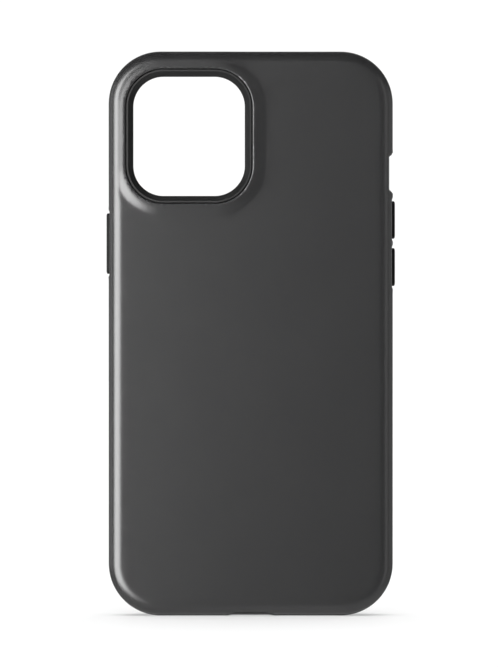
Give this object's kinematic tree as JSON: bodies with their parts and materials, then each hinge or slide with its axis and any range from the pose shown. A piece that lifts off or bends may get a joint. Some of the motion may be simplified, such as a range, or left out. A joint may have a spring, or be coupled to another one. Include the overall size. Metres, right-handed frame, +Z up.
{
  "type": "phone case",
  "caption": "Two-layer protective case for a large phone: a hard outer shell over a flexible liner with a raised camera rim and side button pads.",
  "frame": {"origin": "centre of the case's bottom edge at mid-depth, on the surface that it stands on", "axes": "+Z up the height of the case, +X across its width to the volume side, +Y from the outer back to the open screen side"},
  "size_m": [0.0854, 0.0122, 0.1666],
  "materials": {
    "hard_plastic": "satin charcoal polycarbonate with a fine moulded grain",
    "soft_rubber": "matte black flexible polyurethane"
  },
  "bodies": {
    "shell": {"outer_shell": "hard_plastic"},
    "liner": {"inner_liner": "soft_rubber"},
    "power": {"power_button": "soft_rubber"},
    "volume_up": {"volume_up_button": "soft_rubber"},
    "volume_down": {"volume_down_button": "soft_rubber"}
  },
  "joints": [
    {"name": "liner_slide", "type": "slide", "parent": "shell", "child": "liner", "axis": [0, 1, 0], "range_m": [0, 0.02]},
    {"name": "power_press", "type": "slide", "parent": "liner", "child": "power", "axis": [1, 0, 0], "range_m": [0, 0.00045], "stiffness_N_per_m": 1500},
    {"name": "volume_up_press", "type": "slide", "parent": "liner", "child": "volume_up", "axis": [-1, 0, 0], "range_m": [0, 0.00045], "stiffness_N_per_m": 1500},
    {"name": "volume_down_press", "type": "slide", "parent": "liner", "child": "volume_down", "axis": [-1, 0, 0], "range_m": [0, 0.00045], "stiffness_N_per_m": 1500}
  ]
}
